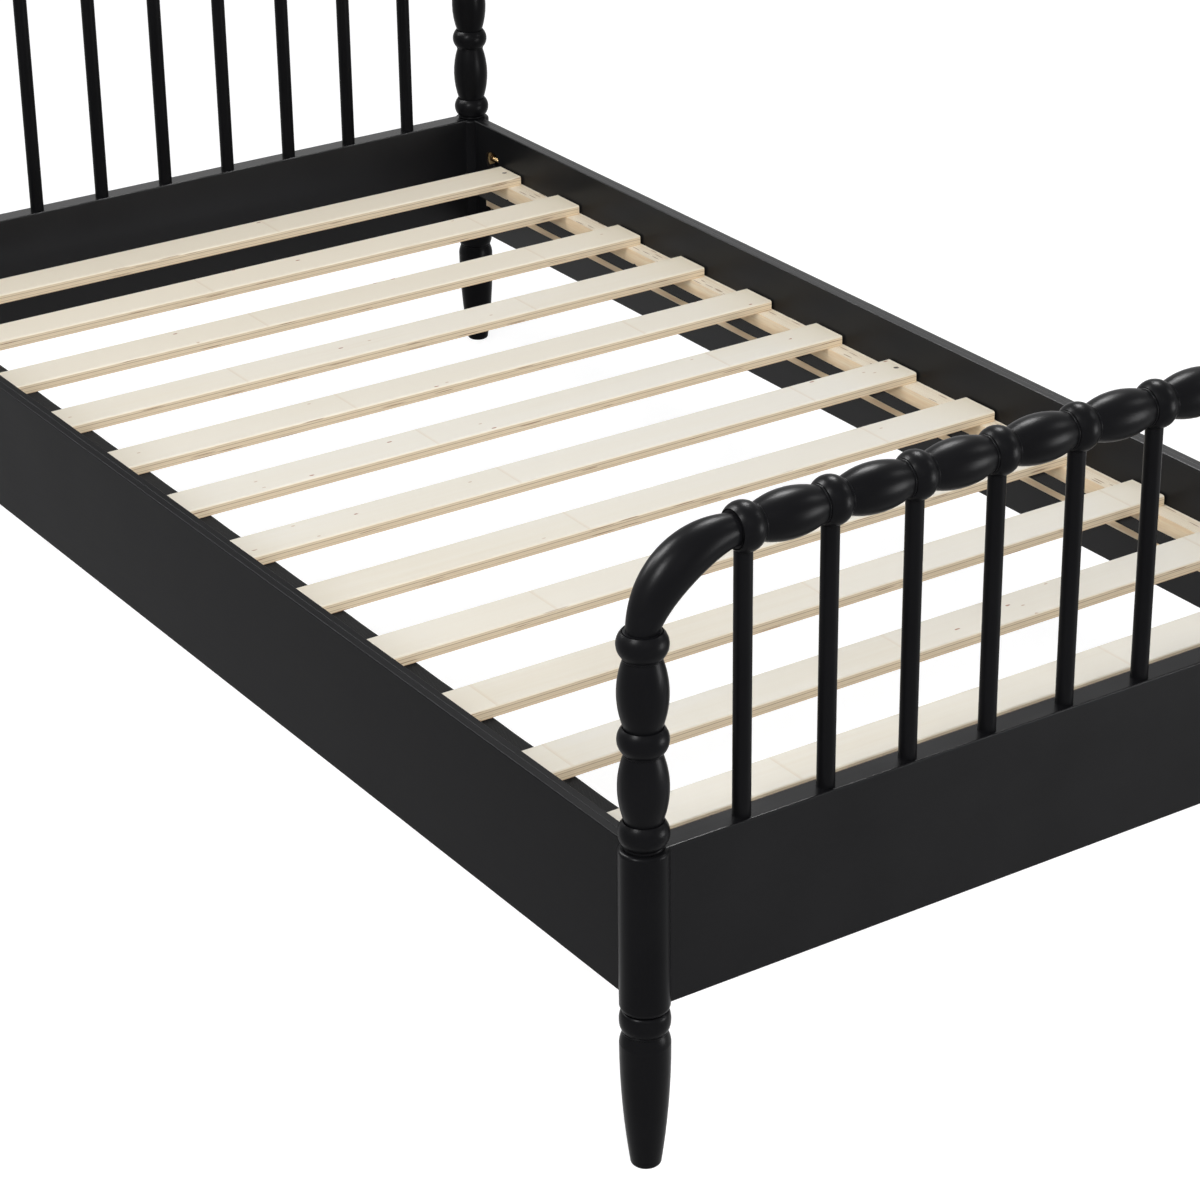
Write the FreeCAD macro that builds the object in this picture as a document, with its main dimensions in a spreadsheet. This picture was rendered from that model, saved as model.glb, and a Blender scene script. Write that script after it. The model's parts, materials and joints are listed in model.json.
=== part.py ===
import FreeCAD, Part
import math
import os
import re

import Sketcher

# A turned spindle bed with a slatted deck, sized for a standard single mattress.
# X runs across the bed, Y runs along it with the head at +Y, Z is up and the floor is z = 0.
# The origin is on the floor, midway between the four posts. Every length is in millimetres.

Vector = FreeCAD.Vector
Rotation = FreeCAD.Rotation

os.makedirs("parts", exist_ok=True)
doc = FreeCAD.newDocument("spindle_bed")
sheet = doc.addObject("Spreadsheet::Sheet", "Sizes")

DRIVING_SIZES = {
    # plan of the four posts, measured between their axes
    "post_span_across": 1025,
    "post_span_along": 1950,
    # turned profile shared by posts and top rails
    "bead_diameter": 50,
    "bead_length": 25.5,
    "bead_root_diameter": 39.6,
    "crevice_depth": 1.6,
    "collar_diameter": 39.2,
    "collar_length": 2.4,
    "vase_diameter": 49.6,
    "neck_diameter": 37,
    # leg, ankle bead and plain shaft of a post, from the floor up
    "foot_diameter": 31,
    "foot_round": 4,
    "leg_diameter": 50.6,
    "leg_height": 154.5,
    "leg_shoulder_height": 14.5,
    "leg_bow_radius": 950,
    "leg_shoulder_radius": 30,
    "ankle_diameter": 50.6,
    "ankle_waist_diameter": 43,
    "ankle_bead_length": 22,
    "shaft_diameter": 50,
    "shaft_foot_round": 7,
    "shaft_top_round": 4,
    "shaft_below_board": 6.5,
    "shaft_above_board": 3.35,
    # beads of the posts
    "head_bead_spacing": 104.3,
    "foot_bead_spacing": 98.3,
    # bent corners between post and top rail
    "corner_end_diameter": 32,
    "corner_middle_diameter": 47,
    "corner_run": 99.75,
    "corner_rise": 74.6,
    "corner_bow": 22.3,
    # spindles
    "spindle_diameter": 18.5,
    "spindle_seat_depth": 18,
    "spindle_end_gap": 1,
    "spindle_clearance": 0.15,
    "spindle_chamfer": 1,
    # boards
    "board_height": 171,
    "panel_thickness": 28,
    "rail_thickness": 18,
    "board_edge_round": 1.5,
    "board_seat_from_axis": 15,
    "board_clearance": 0.15,
    # slatted deck
    "slat_row_from_panel": 79.5,
    "slat_width": 58,
    "slat_thickness": 12.7,
    "slat_end_gap": 2.5,
    "slat_edge_round": 2.5,
    "cleat_below_board_top": 63.3,
    "cleat_height": 45,
    "cleat_width": 25,
    "cleat_overhang": 4,
    "strap_width": 24,
    "strap_thickness": 1.2,
    "strap_from_cleat": 28.5,
    # knock-down joint of side rail and post
    "bolt_diameter": 6,
    "bolt_bore_clearance": 0.5,
    "bolt_spread": 71,
    "bolt_end_gap": 5.5,
    "bolt_engagement": 16,
    "insert_diameter": 10,
    "insert_length": 20,
    "thread_clearance": 0.15,
    "pocket_height": 25,
    "pocket_length": 36,
    "pocket_from_rail_end": 36,
    "pocket_floor_gap": 0.5,
    "washer_sagitta": 4.5,
    "nut_across_flats": 10,
    "nut_length": 5,
    # dowels of the glued joints
    "dowel_diameter": 10,
    "dowel_length": 40,
    "dowel_clearance": 0.15,
    "panel_dowel_spread": 58,
    # wood screws and staples
    "slat_screw_head": 7.5,
    "slat_screw_shank": 4,
    "slat_screw_length": 32,
    "slat_screw_sink": 1,
    "cleat_screw_head": 8,
    "cleat_screw_shank": 4,
    "cleat_screw_length": 36,
    "cleat_screw_from_end": 60.5,
    "screw_clearance": 0.15,
    "staple_width": 10,
    "staple_wire": 1,
    "staple_leg": 8,
    "staple_clearance": 0.1,
}
HEAD_BEAD_COUNT = 7
FOOT_BEAD_COUNT = 3
SPINDLES = 9
SLATS = 12
SCREWED_SLATS = (1, 7, 12)
CLEAT_SCREWS = 6
PANEL_DOWELS = 3
CORNER_SECTIONS = 7

# Sizes that follow from the driving ones, as formulas of the same sheet.
DERIVED_SIZES = {
    "board_bottom": "leg_height + ankle_bead_length + shaft_below_board",
    "leg_widest_height": "leg_height - leg_shoulder_height",
    "spindle_spacing": f"(post_span_across - 2 * corner_run - bead_length) / {SPINDLES - 1}",
    "corner_arc_radius":
        "((corner_run ^ 2 + corner_rise ^ 2) / 4 + corner_bow ^ 2) / (2 * corner_bow)",
    "slat_spacing":
        f"(post_span_along - panel_thickness - 2 * slat_row_from_panel - slat_width) / {SLATS - 1}",
    "slat_length": "post_span_across - rail_thickness - 2 * slat_end_gap",
    "cleat_top": "board_bottom + board_height - cleat_below_board_top",
    "cleat_length": f"{SLATS - 1} * slat_spacing + slat_width + 2 * cleat_overhang",
    "cleat_screw_spacing": f"(cleat_length - 2 * cleat_screw_from_end) / {CLEAT_SCREWS - 1}",
    "strap_from_middle":
        "(post_span_across - rail_thickness - strap_width) / 2 - cleat_width - strap_from_cleat",
    "pocket_depth": "(rail_thickness + nut_across_flats) / 2 + pocket_floor_gap",
    "washer_length": "nut_across_flats - pocket_floor_gap",
    "bolt_beyond_nut": "pocket_length - washer_sagitta - nut_length - bolt_end_gap",
}
for row, (alias, value) in enumerate({**DRIVING_SIZES, **DERIVED_SIZES}.items(), start=1):
    sheet.set(f"A{row}", alias.replace("_", " "))
    sheet.set(f"B{row}", f"={value}")
    sheet.setAlias(f"B{row}", alias)
doc.recompute()

# Derived places, as expressions of the named sizes.
BOARD_TOP = "(board_bottom + board_height)"
ANKLE_TOP = "(leg_height + ankle_bead_length)"
SHAFT_TOP = f"({BOARD_TOP} + shaft_above_board)"
RAIL_HALF = "(post_span_along / 2 - board_seat_from_axis)"
PANEL_HALF = "(post_span_across / 2 - board_seat_from_axis)"
RAIL_INNER = "(post_span_across / 2 - rail_thickness / 2)"
CLEAT_CENTRE = f"({RAIL_INNER} - cleat_width / 2)"
SLAT_ROW_HALF = f"({SLATS - 1} * slat_spacing / 2)"
CLEAT_HALF = "(cleat_length / 2)"
FIRST_SPINDLE = f"({SPINDLES - 1} * spindle_spacing / 2)"
TOP_RAIL_HALF = f"({FIRST_SPINDLE} + bead_length / 2)"
TOP_BEAD_FACE = {
    "head": f"({SHAFT_TOP} + {HEAD_BEAD_COUNT - 1} * head_bead_spacing + bead_length)",
    "foot": f"({SHAFT_TOP} + {FOOT_BEAD_COUNT - 1} * foot_bead_spacing + bead_length)",
}
TOP_RAIL_HEIGHT = {end: f"({face} + corner_rise)" for end, face in TOP_BEAD_FACE.items()}
BOLT_LEVELS = {
    "upper": "(board_height / 2 + bolt_spread / 2)",
    "lower": "(board_height / 2 - bolt_spread / 2)",
}

ALIASES = re.compile(r"\b(" + "|".join([*DRIVING_SIZES, *DERIVED_SIZES]) + r")\b")
SIDES = {"left": -1, "right": 1}
ENDS = {"head": 1, "foot": -1}
subparts = []


def size(expression):
    """The value of an expression of the named sizes."""
    found = sheet.evalExpression(expression)
    return float(getattr(found, "Value", found))


def bind(item, target, expression):
    """Tie one property or constraint of an object to the named sizes."""
    item.setExpression(target, ALIASES.sub(r"Sizes.\1", expression))


def times(sign, expression):
    """The expression, mirrored where the sign is negative."""
    return expression if sign > 0 else f"(-1 * {expression})"


def new_body(label):
    body = doc.addObject("PartDesign::Body", label)
    body.Label = label
    subparts.append(body)
    return body


def place(item, x="0", y="0", z="0", rotation=None):
    """Put a sub-part at expressions of the named sizes."""
    item.Placement = FreeCAD.Placement(Vector(size(x), size(y), size(z)), rotation or Rotation())
    for axis, expression in zip("xyz", (x, y, z)):
        bind(item, f"Placement.Base.{axis}", expression)


def origin_part(body, role):
    return next(item for item in body.Origin.OriginFeatures if item.Role == role)


class Outline:
    """A closed sketch outline whose corners lie at expressions of the named sizes."""

    def __init__(self, body, name, plane, start):
        self.sketch = body.newObject("Sketcher::SketchObject", name)
        self.sketch.AttachmentSupport = [(origin_part(body, plane), "")]
        self.sketch.MapMode = "FlatFace"
        self.start = start
        self.here = start
        self.tail = None
        self.head = None

    def tie(self, kind, geometry, point, expression, value):
        """Fix a point's distance from the sketch origin along one direction."""
        if expression == "0":
            axis = -2 if kind == "DistanceX" else -1
            self.sketch.addConstraint(Sketcher.Constraint("PointOnObject", geometry, point, axis))
            return
        index = self.sketch.addConstraint(Sketcher.Constraint(kind, -1, 1, geometry, point, value))
        bind(self.sketch, f"Constraints[{index}]", expression)

    def pin(self, geometry, point, corner):
        self.tie("DistanceX", geometry, point, corner[0], size(corner[0]))
        self.tie("DistanceY", geometry, point, corner[1], size(corner[1]))

    def add(self, curve, corner, first_point, last_point):
        """Append one curve that runs from the current corner to the next."""
        geometry = self.sketch.addGeometry(curve, False)
        if self.tail is None:
            self.head = (geometry, first_point)
            self.pin(geometry, first_point, self.here)
        else:
            self.sketch.addConstraint(Sketcher.Constraint("Coincident", *self.tail, geometry, first_point))
        if corner == self.start:
            self.sketch.addConstraint(Sketcher.Constraint("Coincident", geometry, last_point, *self.head))
        else:
            self.pin(geometry, last_point, corner)
        self.tail = (geometry, last_point)
        self.here = corner
        return geometry

    def point(self, corner):
        return Vector(size(corner[0]), size(corner[1]), 0)

    def line_to(self, x, y):
        self.add(Part.LineSegment(self.point(self.here), self.point((x, y))), (x, y), 1, 2)
        return self

    def arc_to(self, x, y, turn, radius=None, centre_x=None):
        """An arc of at most half a turn, anticlockwise for turn 1 and clockwise for turn -1."""
        a = self.point(self.here)
        b = self.point((x, y))
        middle = (a + b) / 2
        along = b - a
        if radius:
            reach = math.sqrt(max(size(radius) ** 2 - along.Length ** 2 / 4, 0))
            across = Vector(-along.y, along.x, 0).normalize()
            centre = middle + across * (turn * reach)
        else:
            shift = size(centre_x) - middle.x
            centre = Vector(size(centre_x), middle.y - shift * along.x / along.y, 0)
        first, last = (a, b) if turn > 0 else (b, a)
        angles = [math.atan2(p.y - centre.y, p.x - centre.x) for p in (first, last)]
        if angles[1] <= angles[0]:
            angles[1] += 2 * math.pi
        circle = Part.Circle(centre, Vector(0, 0, 1), (a - centre).Length)
        ends = (1, 2) if turn > 0 else (2, 1)
        geometry = self.add(Part.ArcOfCircle(circle, *angles), (x, y), *ends)
        if radius:
            index = self.sketch.addConstraint(Sketcher.Constraint("Radius", geometry, size(radius)))
            bind(self.sketch, f"Constraints[{index}]", radius)
        else:
            self.tie("DistanceX", geometry, 3, centre_x, centre.x)
        return self

    def bead_to(self, x, y, crest):
        """A half-ellipse that runs up from the current corner and bulges out to the crest."""
        low = self.point(self.here)
        high = self.point((x, y))
        middle = (low + high) / 2
        ellipse = Part.Ellipse(low, Vector(size(crest), middle.y, 0), middle)
        geometry = self.add(Part.ArcOfEllipse(ellipse, 0, math.pi), (x, y), 1, 2)
        self.sketch.exposeInternalGeometry(geometry)
        long_axis, short_axis = geometry + 1, geometry + 2
        self.sketch.addConstraint(Sketcher.Constraint("Vertical", long_axis))
        self.tie("DistanceX", geometry, 3, x, middle.x)
        self.tie("DistanceX", short_axis, 1, crest, size(crest))
        return self

    def close(self):
        return self.line_to(*self.start).sketch


# ---------------------------------------------------------------- features


def feature(body, kind, name):
    return body.newObject(f"PartDesign::{kind}", name)


def revolve(body, name, sketch):
    turned = feature(body, "Revolution", name)
    turned.Profile = sketch
    turned.ReferenceAxis = (sketch, ["V_Axis"])
    turned.Angle = 360
    return turned


def pad(body, name, sketch, length, both_ways=False):
    extrusion = feature(body, "Pad", name)
    extrusion.Profile = sketch
    extrusion.Length = size(length)
    bind(extrusion, "Length", length)
    extrusion.Midplane = both_ways
    return extrusion


def repeat(body, name, source, role, length, count):
    """Copies of a feature in a row along one of the body's own axes."""
    row_of_copies = feature(body, "LinearPattern", name)
    row_of_copies.Originals = [source]
    row_of_copies.Direction = (origin_part(body, role), [""])
    row_of_copies.Length = size(length)
    row_of_copies.Occurrences = count
    bind(row_of_copies, "Length", length)
    body.Tip = row_of_copies
    return row_of_copies


DIRECTIONS = {
    "+X": Rotation(Vector(0, 1, 0), 90),
    "-X": Rotation(Vector(0, 1, 0), -90),
    "+Y": Rotation(Vector(1, 0, 0), -90),
    "-Y": Rotation(Vector(1, 0, 0), 90),
    "+Z": Rotation(),
    "-Z": Rotation(Vector(1, 0, 0), 180),
}


def bore(body, name, start, direction, diameter, depth):
    """A round hole from a start point, along one direction."""
    hole = feature(body, "SubtractiveCylinder", name)
    hole.Radius = size(diameter) / 2
    hole.Height = size(depth)
    bind(hole, "Radius", f"({diameter}) / 2")
    bind(hole, "Height", depth)
    place(hole, *start, DIRECTIONS[direction])
    return hole


def slot(body, name, corner, extents):
    """A square-cornered recess given by its lowest corner and its three lengths."""
    recess = feature(body, "SubtractiveBox", name)
    for dimension, extent in zip(("Length", "Width", "Height"), extents):
        setattr(recess, dimension, size(extent))
        bind(recess, dimension, extent)
    place(recess, *corner)
    return recess


# ---------------------------------------------------------------- turned members


def bead(body, name, base, mirrored):
    """One bead of the shared profile, whose lower face is at the given height.

    A sharp crevice rings the neck in its upper face, and in its lower one too if it is mirrored.
    """
    neck, root = "neck_diameter / 2", "bead_root_diameter / 2"
    swell = "((bead_diameter - bead_root_diameter) / 2)"
    top = f"({base} + bead_length)"
    outline = Outline(body, f"{name}_outline", "XZ_Plane", ("0", base))
    if mirrored:
        outline.line_to(neck, base)
        outline.line_to(neck, f"{base} + crevice_depth")
    outline.line_to(root, base)
    outline.arc_to(root, top, 1, radius=f"(bead_length ^ 2 / 4 + {swell} ^ 2) / (2 * {swell})")
    outline.line_to(neck, f"{top} - crevice_depth")
    outline.line_to(neck, top)
    outline.line_to("0", top)
    return revolve(body, name, outline.close())


def vase(body, name, base, spacing, mirrored):
    """The long swelling between two beads, with a fine collar under the upper one or at both."""
    neck, collar = "neck_diameter / 2", "collar_diameter / 2"
    collars = 2 if mirrored else 1
    top = f"({base} + {spacing} - bead_length)"
    upper_collar = f"({top} - collar_length)"
    half = f"(({spacing} - bead_length - {collars} * collar_length) / 2)"
    swell = "((vase_diameter - neck_diameter) / 2)"
    outline = Outline(body, f"{name}_outline", "XZ_Plane", ("0", base))
    outline.line_to(neck, base)
    if mirrored:
        outline.bead_to(neck, f"({base} + collar_length)", collar)
    outline.arc_to(neck, upper_collar, 1, radius=f"({half} ^ 2 + {swell} ^ 2) / (2 * {swell})")
    outline.bead_to(neck, top, collar)
    outline.line_to("0", top)
    return revolve(body, name, outline.close())


def bead_row(body, base, spacing, count, mirrored=False):
    """Beads one spacing apart with a vase between each two."""
    first_bead = bead(body, "bead", base, mirrored)
    repeat(body, "beads", first_bead, "Z_Axis", f"{count - 1} * {spacing}", count)
    first_vase = vase(body, "vase", f"({base} + bead_length)", spacing, mirrored)
    repeat(body, "vases", first_vase, "Z_Axis", f"{count - 2} * {spacing}", count - 1)


def leg(body):
    """Tapered leg with a bowed side and a rounded top, and a fine collar round its waist."""
    foot = "foot_diameter / 2"
    waist = "ankle_waist_diameter / 2"
    collar = f"{waist} + (collar_diameter - neck_diameter) / 2"
    collar_base = "(leg_height - collar_length)"
    outline = Outline(body, "leg_outline", "XZ_Plane", ("0", "0"))
    outline.line_to(f"{foot} - foot_round", "0")
    outline.arc_to(foot, "foot_round", 1, centre_x=f"{foot} - foot_round")
    outline.arc_to("leg_diameter / 2", "leg_widest_height", 1, radius="leg_bow_radius")
    outline.arc_to(waist, collar_base, 1, radius="leg_shoulder_radius")
    outline.bead_to(waist, "leg_height", collar)
    outline.line_to("0", "leg_height")
    return revolve(body, "leg", outline.close())


def ankle_bead(body):
    waist = "ankle_waist_diameter / 2"
    outline = Outline(body, "ankle_outline", "XZ_Plane", ("0", "leg_height"))
    outline.line_to(waist, "leg_height")
    outline.bead_to(waist, ANKLE_TOP, "ankle_diameter / 2")
    outline.line_to("0", ANKLE_TOP)
    return revolve(body, "ankle_bead", outline.close())


def shaft(body):
    """Plain cylinder as tall as the boards, rounded over at both ends, with a collar on top."""
    side, neck = "shaft_diameter / 2", "neck_diameter / 2"
    foot_centre, top_centre = f"{side} - shaft_foot_round", f"{side} - shaft_top_round"
    outline = Outline(body, "shaft_outline", "XZ_Plane", ("0", ANKLE_TOP))
    outline.line_to(foot_centre, ANKLE_TOP)
    outline.arc_to(side, f"{ANKLE_TOP} + shaft_foot_round", 1, centre_x=foot_centre)
    outline.line_to(side, f"{BOARD_TOP} - shaft_top_round")
    outline.arc_to(top_centre, BOARD_TOP, 1, centre_x=top_centre)
    outline.line_to(neck, BOARD_TOP)
    outline.bead_to(neck, SHAFT_TOP, "collar_diameter / 2")
    outline.line_to("0", SHAFT_TOP)
    return revolve(body, "shaft", outline.close())


def board_seats(body, end, side):
    """Housings in the shaft for the end board and the side rail, open towards the bed's middle."""
    inward_x = -SIDES[side]
    inward_y = -ENDS[end]
    reach = "(shaft_diameter - board_seat_from_axis)"
    base = "board_bottom - board_clearance"
    tall = "board_height + 2 * board_clearance"
    panel_wide = "panel_thickness + 2 * board_clearance"
    rail_wide = "rail_thickness + 2 * board_clearance"
    panel_x = "board_seat_from_axis" if inward_x > 0 else f"-1 * board_seat_from_axis - {reach}"
    rail_y = "board_seat_from_axis" if inward_y > 0 else f"-1 * board_seat_from_axis - {reach}"
    slot(body, "panel_seat", (panel_x, f"-1 * ({panel_wide}) / 2", base), (reach, panel_wide, tall))
    slot(body, "rail_seat", (f"-1 * ({rail_wide}) / 2", rail_y, base), (rail_wide, reach, tall))


def post_bores(body, end, side, top_face):
    """Holes for the rail's inserts, the end board's dowels and the bent corner's dowel."""
    inward_x = -SIDES[side]
    inward_y = -ENDS[end]
    into_rail_seat = "-Y" if inward_y > 0 else "+Y"
    into_panel_seat = "-X" if inward_x > 0 else "+X"
    rail_seat = times(inward_y, "board_seat_from_axis")
    panel_seat = times(inward_x, "board_seat_from_axis")
    for name, level in BOLT_LEVELS.items():
        height = f"board_bottom + {level}"
        bore(body, f"{name}_insert_bore", ("0", rail_seat, height), into_rail_seat,
             "insert_diameter + 2 * thread_clearance", "insert_length")
    lowest = "board_bottom + board_height / 2 - panel_dowel_spread"
    dowel_hole = "dowel_diameter + 2 * dowel_clearance"
    first = bore(body, "panel_dowel_bore", (panel_seat, "0", lowest), into_panel_seat,
                 dowel_hole, "dowel_length / 2")
    repeat(body, "panel_dowel_bores", first, "Z_Axis",
           f"{PANEL_DOWELS - 1} * panel_dowel_spread", PANEL_DOWELS)
    bore(body, "corner_dowel_bore", ("0", "0", top_face), "-Z", dowel_hole, "dowel_length / 2")


def post(end, side):
    body = new_body(f"{end}_post_{side}")
    leg(body)
    ankle_bead(body)
    shaft(body)
    spacing = f"{end}_bead_spacing"
    bead_row(body, SHAFT_TOP, spacing, HEAD_BEAD_COUNT if end == "head" else FOOT_BEAD_COUNT)
    board_seats(body, end, side)
    post_bores(body, end, side, TOP_BEAD_FACE[end])
    place(body, times(SIDES[side], "post_span_across / 2"), times(ENDS[end], "post_span_along / 2"))


# ---------------------------------------------------------------- bent corners

CORNER_CHORD = "sqrt(corner_run ^ 2 + corner_rise ^ 2)"
CORNER_OFFSET = "(corner_arc_radius - corner_bow)"
CORNER_CENTRE_X = f"(corner_run / 2 + {CORNER_OFFSET} * corner_rise / {CORNER_CHORD})"
CORNER_CENTRE_Z = f"(corner_rise / 2 - {CORNER_OFFSET} * corner_run / {CORNER_CHORD})"
CORNER_HALF_SWEEP = f"asin({CORNER_CHORD} / (2 * corner_arc_radius))"
CORNER_MIDDLE_ANGLE = "atan(corner_rise / corner_run)"


def corner(end, side):
    """Bent round member that swells in its middle and turns the post into the top rail.

    Its local X points from the post to the bed's middle, and its local origin is the centre
    of the post's top face. Both end faces are flat: one lies on the post, one stands at the rail.
    """
    body = new_body(f"{end}_corner_{side}")
    sections = []
    for index in range(CORNER_SECTIONS):
        share = index / (CORNER_SECTIONS - 1)
        # measured from straight up, towards the post
        angle = f"({CORNER_MIDDLE_ANGLE} + {1 - 2 * share} * {CORNER_HALF_SWEEP})"
        x = f"({CORNER_CENTRE_X} - corner_arc_radius * sin({angle}))"
        z = f"({CORNER_CENTRE_Z} + corner_arc_radius * cos({angle}))"
        swell = math.sin(math.pi * share)
        section = body.newObject("Sketcher::SketchObject", f"section_{index + 1}")
        section.AttachmentSupport = [(origin_part(body, "XY_Plane"), "")]
        section.MapMode = "FlatFace"
        section.AttachmentOffset = FreeCAD.Placement(
            Vector(size(x), 0, size(z)), Rotation(Vector(0, 1, 0), 90 * share))
        bind(section, "AttachmentOffset.Base.x", x)
        bind(section, "AttachmentOffset.Base.z", z)
        diameter = f"corner_end_diameter + {swell:.6f} * (corner_middle_diameter - corner_end_diameter)"
        circle = Part.Circle(Vector(), Vector(0, 0, 1), size(diameter) / 2)
        section.addGeometry(circle, False)
        section.addConstraint(Sketcher.Constraint("Coincident", 0, 3, -1, 1))
        section.addConstraint(Sketcher.Constraint("Diameter", 0, size(diameter)))
        bind(section, "Constraints[1]", diameter)
        sections.append(section)
    bend = feature(body, "AdditiveLoft", "bend")
    bend.Profile = sections[0]
    bend.Sections = sections[1:]
    dowel_hole = "dowel_diameter + 2 * dowel_clearance"
    bore(body, "post_dowel_bore", ("0", "0", "0"), "+Z", dowel_hole, "dowel_length / 2")
    bore(body, "rail_dowel_bore", ("corner_run", "0", "corner_rise"), "-X", dowel_hole, "dowel_length / 2")
    turn = Rotation() if side == "left" else Rotation(Vector(0, 0, 1), 180)
    place(body, times(SIDES[side], "post_span_across / 2"), times(ENDS[end], "post_span_along / 2"),
          TOP_BEAD_FACE[end], turn)


# ---------------------------------------------------------------- top rails and spindles


def top_rail(end):
    """Turned rail with a bead over every spindle. Its local Z lies along the bed's X."""
    body = new_body(f"{end}_top_rail")
    bead_row(body, "0", "spindle_spacing", SPINDLES, mirrored=True)
    seat = bore(body, "spindle_bore",
                ("bead_diameter / 2 - spindle_seat_depth", "0", "bead_length / 2"), "+X",
                "spindle_diameter + 2 * spindle_clearance", "spindle_seat_depth")
    repeat(body, "spindle_bores", seat, "Z_Axis", f"{SPINDLES - 1} * spindle_spacing", SPINDLES)
    dowel_hole = "dowel_diameter + 2 * dowel_clearance"
    bore(body, "left_dowel_bore", ("0", "0", "0"), "+Z", dowel_hole, "dowel_length / 2")
    bore(body, "right_dowel_bore", ("0", "0", f"2 * {TOP_RAIL_HALF}"), "-Z", dowel_hole, "dowel_length / 2")
    place(body, times(-1, TOP_RAIL_HALF), times(ENDS[end], "post_span_along / 2"),
          TOP_RAIL_HEIGHT[end], Rotation(Vector(0, 1, 0), 90))


def spindle(end, number):
    """Plain round rod that stands in the end board and runs up into a bead of the top rail."""
    body = new_body(f"{end}_spindle_{number}")
    radius = "spindle_diameter / 2"
    base = f"({BOARD_TOP} - spindle_seat_depth)"
    top = f"({TOP_RAIL_HEIGHT[end]} - bead_diameter / 2 + spindle_seat_depth - spindle_end_gap)"
    length = f"({top} - {base})"
    outline = Outline(body, "spindle_outline", "XZ_Plane", ("0", "0"))
    outline.line_to(f"{radius} - spindle_chamfer", "0")
    outline.line_to(radius, "spindle_chamfer")
    outline.line_to(radius, f"{length} - spindle_chamfer")
    outline.line_to(f"{radius} - spindle_chamfer", length)
    outline.line_to("0", length)
    revolve(body, "rod", outline.close())
    place(body, f"{number - 1} * spindle_spacing - {FIRST_SPINDLE}",
          times(ENDS[end], "post_span_along / 2"), base)


# ---------------------------------------------------------------- boards


def board(body, plane, thickness, half_length):
    """A board whose four long edges are eased, centred on its length and standing on z = 0."""
    edge = f"{thickness} / 2"
    ease = "board_edge_round"
    inner = f"{edge} - {ease}"
    outline = Outline(body, "board_outline", plane, (f"-1 * ({inner})", "0"))
    outline.line_to(inner, "0")
    outline.arc_to(edge, ease, 1, centre_x=inner)
    outline.line_to(edge, f"board_height - {ease}")
    outline.arc_to(inner, "board_height", 1, centre_x=inner)
    outline.line_to(f"-1 * ({inner})", "board_height")
    outline.arc_to(f"-1 * ({edge})", f"board_height - {ease}", 1, centre_x=f"-1 * ({inner})")
    outline.line_to(f"-1 * ({edge})", ease)
    outline.arc_to(f"-1 * ({inner})", "0", 1, centre_x=f"-1 * ({inner})")
    return pad(body, "board", outline.sketch, f"2 * {half_length}", both_ways=True)


def panel(end):
    """End board with a row of spindle holes in its top edge and dowel holes in its ends."""
    body = new_body(f"{end}_panel")
    board(body, "YZ_Plane", "panel_thickness", PANEL_HALF)
    seat = bore(body, "spindle_bore", (times(-1, FIRST_SPINDLE), "0", "board_height"), "-Z",
                "spindle_diameter + 2 * spindle_clearance", "spindle_seat_depth")
    repeat(body, "spindle_bores", seat, "X_Axis", f"{SPINDLES - 1} * spindle_spacing", SPINDLES)
    lowest = "board_height / 2 - panel_dowel_spread"
    for side, sign in SIDES.items():
        into_board = "-X" if sign > 0 else "+X"
        first = bore(body, f"{side}_dowel_bore", (times(sign, PANEL_HALF), "0", lowest), into_board,
                     "dowel_diameter + 2 * dowel_clearance", "dowel_length / 2")
        repeat(body, f"{side}_dowel_bores", first, "Z_Axis",
               f"{PANEL_DOWELS - 1} * panel_dowel_spread", PANEL_DOWELS)
    place(body, "0", times(ENDS[end], "post_span_along / 2"), "board_bottom")


def bolt_pocket(body, name, inward, end_sign, level):
    """Oval pocket in the rail's inner face and the bore that reaches it from the rail's end."""
    near = f"({RAIL_HALF} - pocket_from_rail_end)"
    radius = "pocket_height / 2"
    outer_x = f"({near} - {radius})"
    inner_x = f"({near} - pocket_length + {radius})"
    first, last = (inner_x, outer_x) if end_sign > 0 else (times(-1, outer_x), times(-1, inner_x))
    low, high = f"{level} - {radius}", f"{level} + {radius}"
    outline = Outline(body, f"{name}_outline", "YZ_Plane", (first, low))
    outline.line_to(last, low)
    outline.arc_to(last, high, 1, centre_x=last)
    outline.line_to(first, high)
    outline.arc_to(first, low, 1, centre_x=first)
    sketch = outline.sketch
    floor_of_pocket = times(inward, "(rail_thickness / 2 - pocket_depth)")
    sketch.AttachmentOffset = FreeCAD.Placement(Vector(0, 0, size(floor_of_pocket)), Rotation())
    bind(sketch, "AttachmentOffset.Base.z", floor_of_pocket)
    pocket = feature(body, "Pocket", name)
    pocket.Profile = sketch
    pocket.Length = size("pocket_depth")
    bind(pocket, "Length", "pocket_depth")
    pocket.Reversed = inward > 0
    into_rail = "-Y" if end_sign > 0 else "+Y"
    bore(body, f"{name}_bolt_bore", ("0", times(end_sign, RAIL_HALF), level), into_rail,
         "bolt_diameter + 2 * bolt_bore_clearance", "pocket_from_rail_end + pocket_height / 2")


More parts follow.
